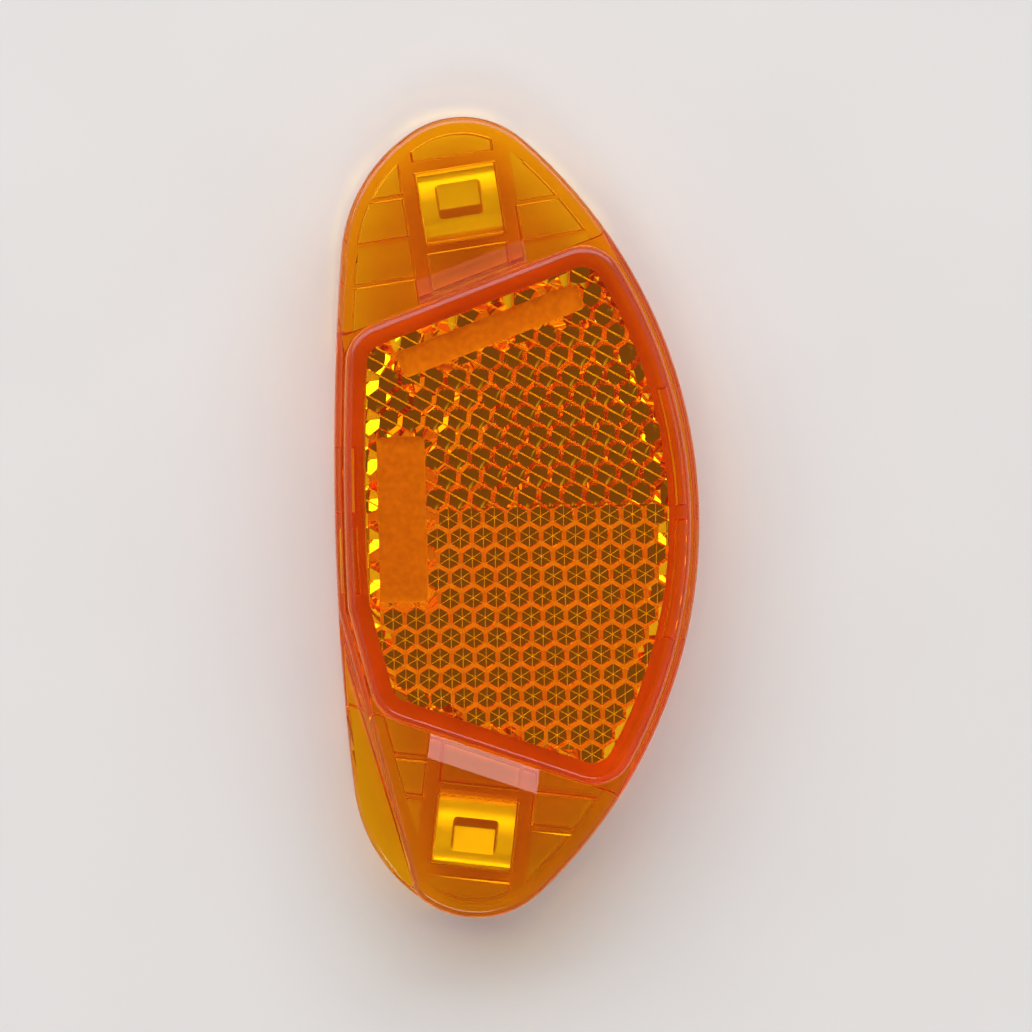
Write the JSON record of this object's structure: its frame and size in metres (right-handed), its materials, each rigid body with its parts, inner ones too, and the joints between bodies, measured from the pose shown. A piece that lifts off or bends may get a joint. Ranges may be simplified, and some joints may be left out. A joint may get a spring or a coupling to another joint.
{
  "type": "bicycle spoke reflector",
  "caption": "Crescent-shaped amber spoke reflector: clear half shells with cube-corner prisms behind a raised window, closed over sheet-steel clips that snap onto wheel spokes.",
  "frame": {"origin": "under the middle of the outline, on the surface that the reflector's back lies on", "axes": "+Z out of the front window, +Y along the length, +X towards the convex edge that faces the wheel rim"},
  "size_m": [0.0396, 0.087, 0.013],
  "materials": {
    "amber_plastic": "clear moulded amber, glossy",
    "spring_steel": "bright plated sheet"
  },
  "bodies": {
    "root": {"front_shell": "amber_plastic", "back_shell": "amber_plastic", "upper_clip": "spring_steel", "lower_clip": "spring_steel"}
  },
  "joints": []
}
